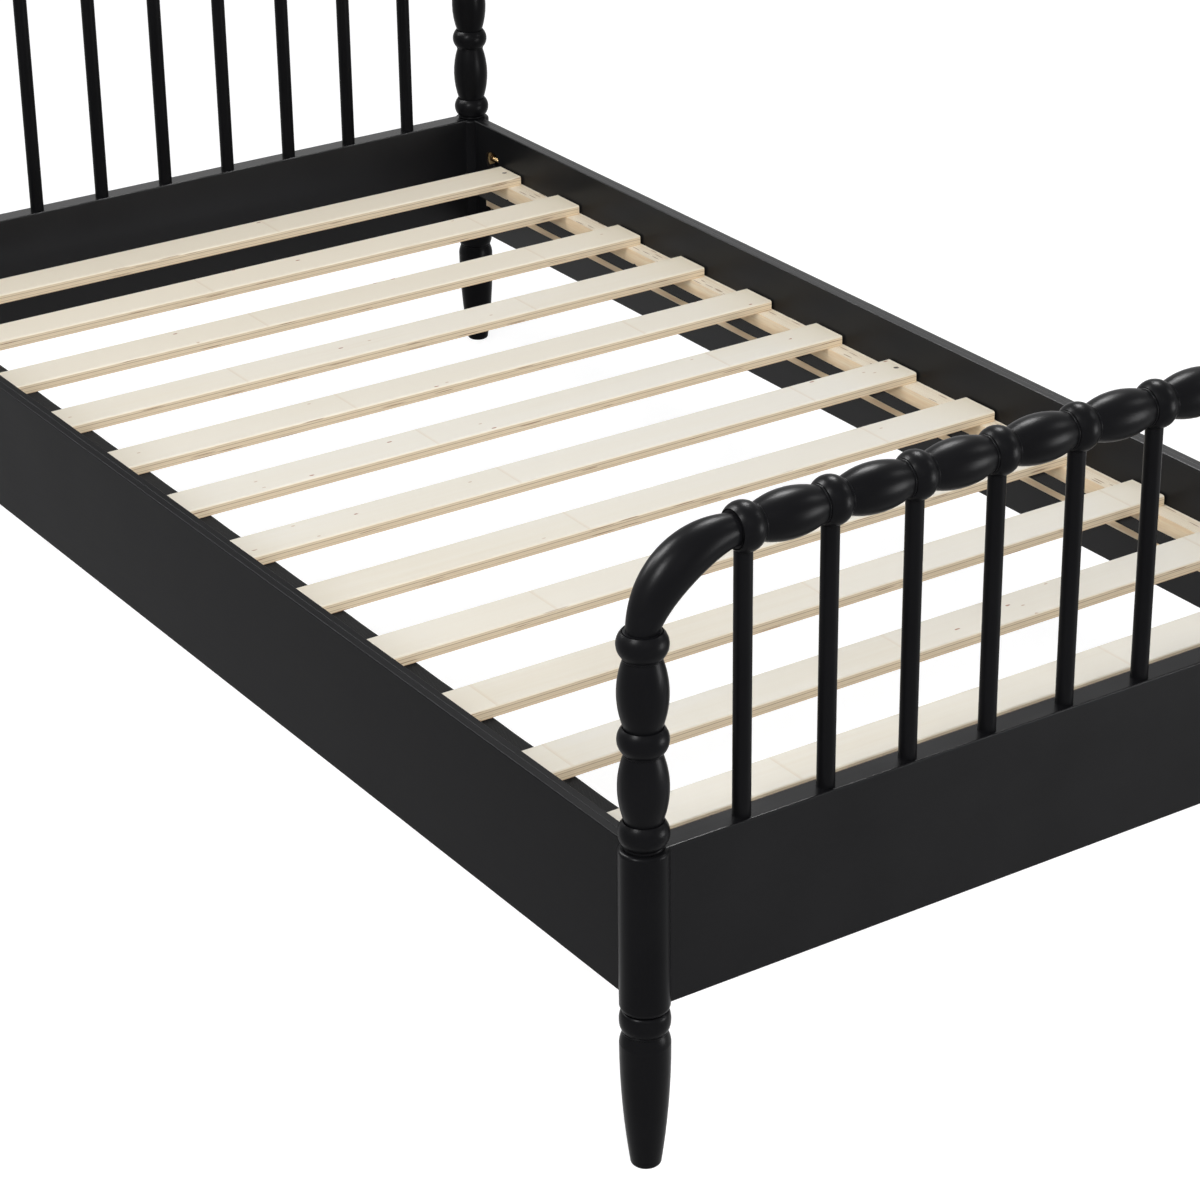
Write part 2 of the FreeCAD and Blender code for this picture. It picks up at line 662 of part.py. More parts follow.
def side_rail(side):
    """Long board with two bolt pockets near each end and pilot holes for the cleat's screws."""
    body = new_body(f"side_rail_{side}")
    inward = -SIDES[side]
    board(body, "XZ_Plane", "rail_thickness", RAIL_HALF)
    for end, end_sign in ENDS.items():
        for level_name, level in BOLT_LEVELS.items():
            bolt_pocket(body, f"{end}_{level_name}_pocket", inward, end_sign, level)
    level = "cleat_top - cleat_height / 2 - board_bottom"
    row_half = f"{CLEAT_SCREWS - 1} * cleat_screw_spacing / 2"
    pilot_depth = "(cleat_screw_length - cleat_width + screw_clearance)"
    into_rail = "+X" if inward < 0 else "-X"
    pilot = bore(body, "cleat_screw_pilot",
                 (times(inward, "rail_thickness / 2"), f"-1 * {row_half}", level), into_rail,
                 "cleat_screw_shank + 2 * screw_clearance", pilot_depth)
    repeat(body, "cleat_screw_pilots", pilot, "Y_Axis", f"2 * {row_half}", CLEAT_SCREWS)
    place(body, times(SIDES[side], "post_span_across / 2"), "0", "board_bottom")


# ---------------------------------------------------------------- slatted deck


def cleat(side):
    """Ledger on the rail's inner face that carries the slats."""
    body = new_body(f"slat_cleat_{side}")
    inward = -SIDES[side]
    strip = feature(body, "AdditiveBox", "strip")
    extents = ("cleat_width", f"2 * {CLEAT_HALF}", "cleat_height")
    for dimension, extent in zip(("Length", "Width", "Height"), extents):
        setattr(strip, dimension, size(extent))
        bind(strip, dimension, extent)
    place(strip, "-1 * cleat_width / 2", times(-1, CLEAT_HALF), "0")
    into_cleat = "+X" if inward < 0 else "-X"
    row_half = f"{CLEAT_SCREWS - 1} * cleat_screw_spacing / 2"
    inner_face = times(inward, "cleat_width / 2")
    through = bore(body, "screw_bore", (inner_face, f"-1 * {row_half}", "cleat_height / 2"), into_cleat,
                   "cleat_screw_shank + 2 * screw_clearance", "cleat_width")
    repeat(body, "screw_bores", through, "Y_Axis", f"2 * {row_half}", CLEAT_SCREWS)
    sunk = bore(body, "head_bore", (inner_face, f"-1 * {row_half}", "cleat_height / 2"), into_cleat,
                "cleat_screw_head + 2 * screw_clearance", "(cleat_screw_head - cleat_screw_shank) / 2")
    repeat(body, "head_bores", sunk, "Y_Axis", f"2 * {row_half}", CLEAT_SCREWS)
    for number in SCREWED_SLATS:
        bore(body, f"slat_screw_pilot_{number}", ("0", slat_place(number), "cleat_height"), "-Z",
             "slat_screw_shank + 2 * screw_clearance", "slat_screw_length - slat_thickness + slat_screw_sink")
    place(body, times(SIDES[side], CLEAT_CENTRE), "0", "cleat_top - cleat_height")


def slat_place(number):
    """Where a slat's middle is along the bed, counted from the head."""
    return f"({SLAT_ROW_HALF} - {number - 1} * slat_spacing)"


def slat(number):
    """Laminated slat with both upper long edges rounded over."""
    body = new_body(f"slat_{number:02d}")
    half, ease = "slat_width / 2", "slat_edge_round"
    inner = f"{half} - {ease}"
    outline = Outline(body, "slat_outline", "YZ_Plane", (f"-1 * {half}", "0"))
    outline.line_to(half, "0")
    outline.line_to(half, f"slat_thickness - {ease}")
    outline.arc_to(inner, "slat_thickness", 1, centre_x=inner)
    outline.line_to(f"-1 * ({inner})", "slat_thickness")
    outline.arc_to(f"-1 * {half}", f"slat_thickness - {ease}", 1, centre_x=f"-1 * ({inner})")
    pad(body, "slat", outline.close(), "slat_length", both_ways=True)
    if number in SCREWED_SLATS:
        for side, sign in SIDES.items():
            x = times(sign, CLEAT_CENTRE)
            bore(body, f"{side}_screw_bore", (x, "0", "slat_thickness"), "-Z",
                 "slat_screw_shank + 2 * screw_clearance", "slat_thickness")
            bore(body, f"{side}_head_bore", (x, "0", "slat_thickness"), "-Z",
                 "slat_screw_head + 2 * screw_clearance",
                 "slat_screw_sink + (slat_screw_head - slat_screw_shank) / 2")
    for side, sign in SIDES.items():
        staple_slots(body, side, times(sign, "strap_from_middle"), "0", "0",
                     "staple_leg - strap_thickness")
    place(body, "0", slat_place(number), "cleat_top")


def staple_slots(body, name, x, y, base, height):
    """Two slots for a staple's legs, which stand either side of the given place."""
    across = "(staple_wire + 2 * staple_clearance)"
    slots = []
    for leg_name, sign in SIDES.items():
        middle = f"{x} + {sign} * (staple_width - staple_wire) / 2"
        slots.append(slot(body, f"{name}_{leg_name}_leg_slot",
                          (f"{middle} - {across} / 2", f"{y} - {across} / 2", base),
                          (across, across, height)))
    return slots


def strap(side):
    """Woven tape stapled under the slats, which keeps them at their spacing."""
    body = new_body(f"slat_strap_{side}")
    tape = feature(body, "AdditiveBox", "tape")
    extents = ("strap_width", f"2 * {SLAT_ROW_HALF} + slat_width", "strap_thickness")
    for dimension, extent in zip(("Length", "Width", "Height"), extents):
        setattr(tape, dimension, size(extent))
        bind(tape, dimension, extent)
    place(tape, "-1 * strap_width / 2", f"-1 * ({SLAT_ROW_HALF} + slat_width / 2)", "0")
    slots = staple_slots(body, "first", "0", f"-1 * {SLAT_ROW_HALF}", "0", "strap_thickness")
    for leg_slot in slots:
        repeat(body, f"{leg_slot.Name}_row", leg_slot, "Y_Axis", f"2 * {SLAT_ROW_HALF}", SLATS)
    place(body, times(SIDES[side], "strap_from_middle"), "0", "cleat_top - strap_thickness")


# ---------------------------------------------------------------- fasteners, grouped by kind


THREAD_BORE = "bolt_diameter + 2 * thread_clearance"


def group(label, pieces):
    """Identical loose pieces that share one node as separate solids."""
    item = doc.addObject("Part::Feature", label)
    item.Label = label
    item.Shape = Part.makeCompound(pieces)
    subparts.append(item)


def rod(start, direction, diameter, length):
    return Part.makeCylinder(size(diameter) / 2, size(length), start, direction)


def bolt_stations():
    """Seat of every knock-down bolt: its point on the post's rail seat and its way into the rail."""
    for side_sign in SIDES.values():
        for end_sign in ENDS.values():
            for level in BOLT_LEVELS.values():
                seat = Vector(side_sign * size("post_span_across / 2"), end_sign * size(RAIL_HALF),
                              size(f"board_bottom + {level}"))
                yield seat, Vector(0, -end_sign, 0)


def pocket_end(seat, way):
    """Middle of the pocket's rounded end, the face that a half-moon washer bears on."""
    return seat + way * size("pocket_from_rail_end")


def bed_bolts():
    washer_and_nut = "washer_sagitta + nut_length"
    length = f"bolt_engagement + pocket_from_rail_end + {washer_and_nut} + bolt_beyond_nut"
    studs = [rod(seat - way * size("bolt_engagement"), way, "bolt_diameter", length)
             for seat, way in bolt_stations()]
    group("bed_bolts", studs)


def post_inserts():
    sleeves = []
    for seat, way in bolt_stations():
        outer = rod(seat - way * size("insert_length"), way, "insert_diameter", "insert_length")
        thread = rod(seat - way * size("bolt_engagement"), way, THREAD_BORE, "bolt_engagement")
        sleeves.append(outer.cut(thread))
    group("post_inserts", sleeves)


def half_moon_washers():
    """Circle segments that fit the rounded end of a pocket and give the nut a flat face."""
    washers = []
    for seat, way in bolt_stations():
        bearing = pocket_end(seat, way)
        inward = -1 if bearing.x > 0 else 1
        radius = size("pocket_height / 2")
        length = size("washer_length")
        start = Vector(bearing.x - inward * length / 2, bearing.y, bearing.z) + way * radius
        disc = Part.makeCylinder(radius - size("thread_clearance"), length, start, Vector(inward, 0, 0))
        keep_from = bearing.y if way.y > 0 else bearing.y - size("washer_sagitta")
        keep = Part.makeBox(length, size("washer_sagitta"), 2 * radius,
                            Vector(min(start.x, start.x + inward * length), keep_from, bearing.z - radius))
        hole = rod(seat, way, "bolt_diameter + 2 * bolt_bore_clearance", "2 * pocket_from_rail_end")
        washers.append(disc.common(keep).cut(hole))
    group("half_moon_washers", washers)


def bolt_nuts():
    nuts = []
    for seat, way in bolt_stations():
        start = pocket_end(seat, way) + way * size("washer_sagitta")
        corner_radius = size("nut_across_flats") / math.sqrt(3)
        corners = [start + Vector(corner_radius * math.cos(turn), 0, corner_radius * math.sin(turn))
                   for turn in (math.radians(60 * step + 30) for step in range(7))]
        hexagon = Part.Face(Part.makePolygon(corners)).extrude(way * size("nut_length"))
        nuts.append(hexagon.cut(rod(start, way, THREAD_BORE, "nut_length")))
    group("bolt_nuts", nuts)


def dowel(start, direction):
    return rod(start - direction * size("dowel_length / 2"), direction, "dowel_diameter", "dowel_length")


def corner_dowels():
    pins = []
    for end, end_sign in ENDS.items():
        y = end_sign * size("post_span_along / 2")
        for side_sign in SIDES.values():
            post_joint = Vector(side_sign * size("post_span_across / 2"), y, size(TOP_BEAD_FACE[end]))
            rail_joint = Vector(side_sign * size(TOP_RAIL_HALF), y, size(TOP_RAIL_HEIGHT[end]))
            pins.append(dowel(post_joint, Vector(0, 0, 1)))
            pins.append(dowel(rail_joint, Vector(1, 0, 0)))
    group("corner_dowels", pins)


def panel_dowels():
    pins = []
    for end_sign in ENDS.values():
        for side_sign in SIDES.values():
            for step in range(PANEL_DOWELS):
                height = f"board_bottom + board_height / 2 + {step - 1} * panel_dowel_spread"
                joint = Vector(side_sign * size(PANEL_HALF), end_sign * size("post_span_along / 2"),
                               size(height))
                pins.append(dowel(joint, Vector(1, 0, 0)))
    group("panel_dowels", pins)


def wood_screw(head_face, direction, head, shank, length):
    """Countersunk screw whose flat head starts at the given face."""
    head_radius, shank_radius = size(head) / 2, size(shank) / 2
    cone_height = head_radius - shank_radius
    cone = Part.makeCone(head_radius, shank_radius, cone_height, head_face, direction)
    body = Part.makeCylinder(shank_radius, size(length) - cone_height,
                             head_face + direction * cone_height, direction)
    return cone.fuse(body).removeSplitter()


def slat_screws():
    top = size("cleat_top + slat_thickness - slat_screw_sink")
    screws = []
    for number in SCREWED_SLATS:
        for side_sign in SIDES.values():
            head_face = Vector(side_sign * size(CLEAT_CENTRE), size(slat_place(number)), top)
            screws.append(wood_screw(head_face, Vector(0, 0, -1), "slat_screw_head",
                                     "slat_screw_shank", "slat_screw_length"))
    group("slat_screws", screws)


def cleat_screws():
    height = size("cleat_top - cleat_height / 2")
    first = size(f"-1 * {CLEAT_SCREWS - 1} * cleat_screw_spacing / 2")
    screws = []
    for side_sign in SIDES.values():
        for step in range(CLEAT_SCREWS):
            head_face = Vector(side_sign * size(f"{RAIL_INNER} - cleat_width"),
                               first + step * size("cleat_screw_spacing"), height)
            screws.append(wood_screw(head_face, Vector(side_sign, 0, 0), "cleat_screw_head",
                                     "cleat_screw_shank", "cleat_screw_length"))
    group("cleat_screws", screws)


def strap_staples():
    """Wire staples driven up through the tape, one at every crossing with a slat."""
    width, wire, leg = size("staple_width"), size("staple_wire"), size("staple_leg")
    under = size("cleat_top - strap_thickness") - wire
    staples = []
    for number in range(1, SLATS + 1):
        for side_sign in SIDES.values():
            corner = Vector(side_sign * size("strap_from_middle") - width / 2,
                            size(slat_place(number)) - wire / 2, under)
            crown = Part.makeBox(width, wire, wire, corner)
            legs = [Part.makeBox(wire, wire, leg + wire, corner + Vector(shift, 0, 0))
                    for shift in (0, width - wire)]
            staples.append(crown.fuse(legs).removeSplitter())
    group("strap_staples", staples)


for end in ENDS:
    for side in SIDES:
        post(end, side)
        corner(end, side)
    top_rail(end)
    panel(end)
    for number in range(1, SPINDLES + 1):
        spindle(end, number)
for side in SIDES:
    side_rail(side)
    cleat(side)
    strap(side)
for number in range(1, SLATS + 1):
    slat(number)
doc.recompute()
bed_bolts()
post_inserts()
half_moon_washers()
bolt_nuts()
corner_dowels()
panel_dowels()
slat_screws()
cleat_screws()
strap_staples()
doc.recompute()

for item in doc.Objects:
    if "Invalid" in item.State or "Error" in item.State:
        raise RuntimeError(f"{item.Label} failed: {item.State}")
for subpart in subparts:
    if subpart.Shape.isNull() or not subpart.Shape.isValid():
        raise RuntimeError(f"{subpart.Label} has no valid shape")
for subpart in subparts:
    subpart.Shape.exportStep(f"parts/{subpart.Label}.step")
    print(f"{subpart.Label}: {len(subpart.Shape.Solids)} solid(s), {subpart.Shape.Volume / 1000:.1f} cm3")
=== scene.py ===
import json
import math

import bpy
from mathutils import Euler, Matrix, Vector

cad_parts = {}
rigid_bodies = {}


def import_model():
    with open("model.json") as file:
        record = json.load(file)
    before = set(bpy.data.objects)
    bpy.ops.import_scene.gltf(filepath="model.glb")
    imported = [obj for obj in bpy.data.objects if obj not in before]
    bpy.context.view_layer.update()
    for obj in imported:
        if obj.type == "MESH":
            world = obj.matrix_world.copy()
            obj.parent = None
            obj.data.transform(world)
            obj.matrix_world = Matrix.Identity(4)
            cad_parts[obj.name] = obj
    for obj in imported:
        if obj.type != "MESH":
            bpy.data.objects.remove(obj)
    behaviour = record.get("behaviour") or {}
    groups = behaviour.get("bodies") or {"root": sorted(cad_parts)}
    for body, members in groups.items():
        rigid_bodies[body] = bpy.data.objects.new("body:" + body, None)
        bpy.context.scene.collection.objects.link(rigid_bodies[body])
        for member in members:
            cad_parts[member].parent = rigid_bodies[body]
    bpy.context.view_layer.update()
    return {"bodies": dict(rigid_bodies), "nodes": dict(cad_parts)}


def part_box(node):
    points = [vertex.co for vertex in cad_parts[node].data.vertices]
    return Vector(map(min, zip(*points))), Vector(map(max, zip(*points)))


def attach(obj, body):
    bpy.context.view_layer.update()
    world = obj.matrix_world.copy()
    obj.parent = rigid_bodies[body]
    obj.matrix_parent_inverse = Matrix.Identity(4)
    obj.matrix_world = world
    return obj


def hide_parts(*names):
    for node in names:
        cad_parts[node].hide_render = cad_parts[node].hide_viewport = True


# Finishes, woven tapes, light and camera of a painted spindle bed, in metres and in the frame of its
# solids: X runs across the bed, Y along it with the head at +Y, and the floor is z = 0.

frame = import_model()
nodes = frame["nodes"]
body = next(iter(frame["bodies"]))

# Places and sizes of the part that the finishes follow.
SLATS = 12
SLAT_SPACING = 0.155
FIRST_SLAT_Y = 0.8525
SLAT_WIDTH = 0.058
DECK_BOTTOM = 0.2907
SLAT_THICKNESS = 0.0127
CLEAT_CENTRE_X = 0.491
RAIL_CENTRE_X = 0.5125
BOLT_PITCH = 0.001
SCREW_CROSS_HALF_WIDTH = 0.0005
SCREW_CROSS_HALF_LENGTH = 0.00215


# ---------------------------------------------------------------- node trees


class Finish:
    """A material and the few kinds of node that its tree is made of."""

    def __init__(self, name, **sockets):
        self.material = bpy.data.materials.new(name)
        self.material.use_nodes = True
        self.tree = self.material.node_tree
        self.shader = self.tree.nodes["Principled BSDF"]
        self.place = self.add("ShaderNodeTexCoord").outputs["Object"]
        for socket, value in sockets.items():
            self.set(socket.replace("_", " "), value)

    def add(self, kind, settings=None, **sockets):
        node = self.tree.nodes.new(kind)
        for key, value in (settings or {}).items():
            setattr(node, key, value)
        for socket, value in sockets.items():
            self.put(node.inputs[socket.replace("_", " ")], value)
        return node

    def put(self, socket, value):
        if isinstance(value, bpy.types.NodeSocket):
            self.tree.links.new(value, socket)
        else:
            socket.default_value = value

    def set(self, socket, value):
        self.put(self.shader.inputs[socket], value)

    def math(self, operation, a, b=0.0, c=0.0):
        node = self.add("ShaderNodeMath", {"operation": operation})
        for socket, value in zip(node.inputs, (a, b, c)):
            self.put(socket, value)
        return node.outputs[0]

    def axes(self, vector=None):
        return self.add("ShaderNodeSeparateXYZ", Vector=vector or self.place).outputs[:]

    def vector(self, x, y, z):
        return self.add("ShaderNodeCombineXYZ", X=x, Y=y, Z=z).outputs[0]

    def scaled(self, scale, offset=None):
        node = self.add("ShaderNodeMapping", Vector=self.place, Scale=scale)
        if offset is not None:
            self.put(node.inputs["Location"], offset)
        return node.outputs[0]

    def noise(self, vector, detail=2.0, roughness=0.5, scale=1.0):
        return self.add("ShaderNodeTexNoise", Vector=vector, Scale=scale, Detail=detail,
                        Roughness=roughness).outputs["Fac"]

    def random(self, value):
        return self.add("ShaderNodeTexWhiteNoise", {"noise_dimensions": "1D"}, W=value).outputs["Value"]

    def between(self, value, low, high, low_to=0.0, high_to=1.0):
        """Value mapped from low..high to low_to..high_to, and held at the ends."""
        node = self.add("ShaderNodeMapRange", {"clamp": True})
        for socket, number in zip(node.inputs, (value, low, high, low_to, high_to)):
            self.put(socket, number)
        return node.outputs[0]

    def colours(self, factor, stops):
        node = self.add("ShaderNodeValToRGB", Fac=factor)
        ramp = node.color_ramp
        while len(ramp.elements) < len(stops):
            ramp.elements.new(1.0)
        for element, (position, colour) in zip(ramp.elements, stops):
            element.position = position
            element.color = (*colour, 1.0)
        return node.outputs["Color"]

    def mix(self, factor, a, b):
        node = self.add("ShaderNodeMix", {"data_type": "RGBA"})
        for socket, value in ((0, factor), (6, a), (7, b)):
            self.put(node.inputs[socket], value)
        return node.outputs[2]

    def normals(self):
        return self.axes(self.add("ShaderNodeNewGeometry").outputs["Normal"])

    def relief(self, *layers):
        """Bump from (height, depth in metres) pairs, one on top of the other."""
        normal = None
        for height, depth in layers:
            bump = self.add("ShaderNodeBump", Height=height, Distance=depth, Strength=1.0)
            if normal is not None:
                self.put(bump.inputs["Normal"], normal)
            normal = bump.outputs["Normal"]
        self.set("Normal", normal)


def rgb(*colour):
    return (*colour, 1.0)


# ---------------------------------------------------------------- finishes


def satin_paint(name, grain, gloss, roughness=0.38, top_roughness=None, seam_x=None):
    """Satin black paint over fine-grained wood. grain is 0, 1 or 2, the axis the fibres run along.

    A flat top may have a roughness of its own. A rail's top has a fine groove where seam_x is given,
    at that distance from the bed's middle.
    """
    finish = Finish(name, Specular_IOR_Level=gloss)
    cells_along, cells_across, cloud_cells, peel_cells = 14.0, 420.0, 9.0, 650.0
    fibre_scale = [cells_across] * 3
    fibre_scale[grain] = cells_along
    fibre = finish.noise(finish.scaled(fibre_scale), detail=3.0, roughness=0.6)
    cloud = finish.noise(finish.place, detail=2.0, scale=cloud_cells)
    peel = finish.noise(finish.place, detail=1.0, scale=peel_cells)
    finish.set("Base Color", finish.colours(cloud, [(0.3, (0.0043, 0.0043, 0.0049)),
                                                     (0.7, (0.0057, 0.0057, 0.0064))]))
    mottle = finish.math("ADD", cloud, finish.math("MULTIPLY", fibre, 0.5))
    spread = 0.04
    dullness = finish.between(mottle, 0.4, 1.1, roughness - spread, roughness + spread)
    if top_roughness is not None:
        flat_top = finish.between(finish.normals()[2], 0.9, 0.99)
        change = finish.math("MULTIPLY", flat_top, top_roughness - roughness)
        dullness = finish.math("ADD", dullness, change)
    finish.set("Roughness", dullness)
    layers = [(fibre, 0.000035), (peel, 0.00002)]
    if seam_x is not None:
        outer, inner, wander, depth = 0.0007, 0.0002, 0.0006, 0.0004
        from_seam = finish.math("SUBTRACT", finish.math("ABSOLUTE", finish.axes()[0]), seam_x)
        drift = finish.math("MULTIPLY", finish.math("SUBTRACT", cloud, 0.5), wander)
        seam = finish.between(finish.math("ABSOLUTE", finish.math("ADD", from_seam, drift)), outer, inner)
        layers.append((seam, -depth))
    finish.relief(*layers)
    return finish.material


def wood_tones(finish, grain_axis, seed):
    """Cloud, streak and fibre patterns of a pale rotary-cut veneer, drawn out along one axis."""
    def drawn(along, across):
        scale = [across] * 3
        scale[grain_axis] = along
        return finish.scaled(scale, offset=finish.vector(seed, seed, seed))
    cloud = finish.noise(drawn(1.6, 9.0), detail=2.0)
    streak = finish.noise(drawn(4.0, 150.0), detail=3.0, roughness=0.6)
    fibre = finish.noise(drawn(40.0, 700.0), detail=2.0, roughness=0.6)
    return cloud, streak, fibre


def specks(finish, with_grain, across_grain, seed, lengthwise, crosswise, rarity, size):
    """Short dark dashes and pin knots, one in a few cells of a cell pattern stretched along the grain."""
    place = finish.vector(finish.math("MULTIPLY_ADD", with_grain, lengthwise, seed),
                          finish.math("MULTIPLY_ADD", across_grain, crosswise, seed), 0.0)
    cells = finish.add("ShaderNodeTexVoronoi", {"voronoi_dimensions": "2D", "feature": "F1"},
                       Vector=place, Scale=1.0)
    chance = finish.axes(cells.outputs["Color"])[0]
    near = finish.between(cells.outputs["Distance"], size, size * 0.7)
    return finish.math("MULTIPLY", near, finish.math("GREATER_THAN", chance, rarity))


def slat_veneer():
    """Laminated slats: cream face veneer, tan edges with glue lines, end grain.

    Each slat has its own figure, and those near the head are a little yellower as painted light. The ends
    by the side rails are warmer as painted shade, and the faces are written darker and the edges lighter
    than the wood's own, as painted shade and painted light.
    """
    finish = Finish("slat_laminate", Specular_IOR_Level=0.12)
    x, y, z = finish.axes()
    from_first = finish.math("SUBTRACT", FIRST_SLAT_Y, y)
    number = finish.math("ROUND", finish.math("DIVIDE", from_first, SLAT_SPACING))
    own = finish.random(finish.math("ADD", number, 0.37))
    seed = finish.math("MULTIPLY", finish.math("ADD", number, 3.0), 17.31)
    cloud, streak, fibre = wood_tones(finish, 0, seed)

    tone = finish.math("ADD", finish.math("MULTIPLY", cloud, 0.7), finish.math("MULTIPLY", streak, 0.3))
    # The face tones are written darker than the veneer's own, as painted shade against the strong light on
    # the tops.
    face = finish.colours(tone, [(0.30, (0.66, 0.60, 0.49)), (0.48, (0.70, 0.66, 0.57)),
                                 (0.62, (0.72, 0.69, 0.62)), (0.80, (0.67, 0.61, 0.51))])
    strip = finish.math("ADD", finish.math("MULTIPLY", x, 2.3), finish.math("MULTIPLY", own, 9.0))
    strip_tone = finish.random(finish.math("FLOOR", strip))
    face = finish.mix(finish.between(strip_tone, 0.0, 1.0, 0.0, 0.5), face, rgb(0.74, 0.71, 0.64))
    face = finish.mix(finish.between(own, 0.0, 1.0, 0.0, 0.45), face, rgb(0.68, 0.63, 0.53))
    # Painted light: slats 0 to 5, at the head, are mixed towards yellow for how the light falls there.
    face = finish.mix(finish.between(number, 0.0, 5.0, 0.75, 0.0), face, rgb(0.77, 0.69, 0.55))
    # Painted shade: the faces turn warmer from 0.40 to 0.50 m off the middle, where the side rails shade
    # them.
    painted_shade_towards_end = finish.between(finish.math("ABSOLUTE", x), 0.40, 0.50, 0.0, 0.5)
    face = finish.mix(painted_shade_towards_end, face, rgb(0.76, 0.67, 0.50))
    joint = finish.between(finish.math("FRACT", strip), 0.012, 0.002)
    face = finish.mix(finish.math("MULTIPLY", joint, 0.28), face, rgb(0.56, 0.42, 0.27))
    dash = specks(finish, x, y, seed, 110.0, 280.0, 0.998, 0.46)
    knot = specks(finish, x, y, seed, 90.0, 200.0, 0.9975, 0.26)
    face = finish.mix(finish.math("MULTIPLY", dash, 0.85), face, rgb(0.30, 0.10, 0.04))
    face = finish.mix(finish.math("MULTIPLY", knot, 0.6), face, rgb(0.40, 0.22, 0.10))

    level = finish.between(z, DECK_BOTTOM, DECK_BOTTOM + SLAT_THICKNESS)
    waver = finish.math("MULTIPLY", finish.math("SUBTRACT", cloud, 0.5), 0.05)
    ply = finish.math("ADD", level, waver)
    # The edge tones are written lighter than the faces, as painted light on edges that stand in shade; the
    # ply and glue lines are the wood's own.
    edge = finish.colours(ply, [
        (0.000, (0.72, 0.48, 0.28)), (0.055, (0.76, 0.58, 0.38)), (0.10, (0.86, 0.73, 0.53)),
        (0.220, (0.84, 0.70, 0.50)), (0.24, (0.40, 0.25, 0.12)), (0.285, (0.88, 0.75, 0.56)),
        (0.42, (0.84, 0.71, 0.52)), (0.435, (0.66, 0.50, 0.32)), (0.45, (0.86, 0.74, 0.55)),
        (0.58, (0.82, 0.69, 0.50)), (0.61, (0.26, 0.14, 0.07)), (0.66, (0.88, 0.76, 0.57)),
        (0.79, (0.85, 0.73, 0.54)), (0.815, (0.56, 0.41, 0.25)), (0.84, (0.88, 0.78, 0.61)),
        (0.97, (0.86, 0.79, 0.67))])
    edge = finish.mix(finish.between(streak, 0.35, 0.65, 0.0, 0.25), edge, rgb(0.68, 0.54, 0.36))
    edge = finish.mix(finish.between(fibre, 0.35, 0.7, 0.0, 0.16), edge, rgb(0.58, 0.44, 0.28))
    gap = specks(finish, x, z, seed, 26.0, 800.0, 0.965, 0.5)
    edge = finish.mix(finish.math("MULTIPLY", gap, 0.7), edge, rgb(0.26, 0.12, 0.06))

    normal_x, _, normal_z = finish.normals()
    faces_up = finish.between(finish.math("ABSOLUTE", normal_z), 0.55, 0.85)
    ends = finish.between(finish.math("ABSOLUTE", normal_x), 0.6, 0.8)
    pores = finish.noise(finish.scaled((900.0, 900.0, 700.0)), detail=2.0)
    end_grain = finish.math("MULTIPLY", ends, finish.between(pores, 0.35, 0.65, 0.2, 0.75))
    edge = finish.mix(end_grain, edge, rgb(0.44, 0.33, 0.20))
    finish.set("Base Color", finish.mix(faces_up, edge, face))
    finish.set("Roughness", finish.between(streak, 0.3, 0.7, 0.5, 0.68))
    finish.relief((streak, 0.00012), (fibre, 0.00008), (finish.math("SUBTRACT", 1.0, joint), 0.00015))
    return finish.material


def cleat_laminate():
    """Cleats with upright laminations: thin glue lines along the top, a warm veneer on the inner face,
    written lighter as painted light on that shaded face.
    """
    finish = Finish("cleat_laminate", Specular_IOR_Level=0.12)
    x, y, _ = finish.axes()
    cloud, streak, fibre = wood_tones(finish, 1, 4.7)
    from_centre = finish.math("SUBTRACT", finish.math("ABSOLUTE", x), CLEAT_CENTRE_X)
    ply_place = finish.math("ADD", finish.math("MULTIPLY", from_centre, 380.0),
                            finish.math("MULTIPLY", cloud, 0.35))
    line = finish.between(finish.math("FRACT", ply_place), 0.10, 0.03)
    shade = finish.random(finish.math("FLOOR", ply_place))
    top = finish.mix(shade, rgb(0.80, 0.71, 0.56), rgb(0.72, 0.61, 0.45))
    top = finish.mix(finish.between(streak, 0.35, 0.65, 0.0, 0.4), top, rgb(0.84, 0.77, 0.64))
    top = finish.mix(finish.math("MULTIPLY", line, 0.6), top, rgb(0.46, 0.32, 0.18))
    speckle = specks(finish, y, x, 1.3, 45.0, 420.0, 0.90, 0.5)
    top = finish.mix(finish.math("MULTIPLY", speckle, 0.7), top, rgb(0.30, 0.18, 0.10))
    # Painted light: the inner face's tones are written light because that face stands in shade.
    inner = finish.colours(streak, [(0.3, (0.86, 0.66, 0.43)), (0.5, (0.90, 0.72, 0.49)),
                                    (0.7, (0.92, 0.78, 0.58))])
    inner = finish.mix(finish.between(fibre, 0.4, 0.7, 0.0, 0.3), inner, rgb(0.72, 0.50, 0.30))
    on_top = finish.between(finish.math("ABSOLUTE", finish.normals()[2]), 0.5, 0.8)
    finish.set("Base Color", finish.mix(on_top, inner, top))
    finish.set("Roughness", finish.between(fibre, 0.3, 0.7, 0.55, 0.75))
    finish.relief((line, -0.00012), (fibre, 0.0001))
    return finish.material


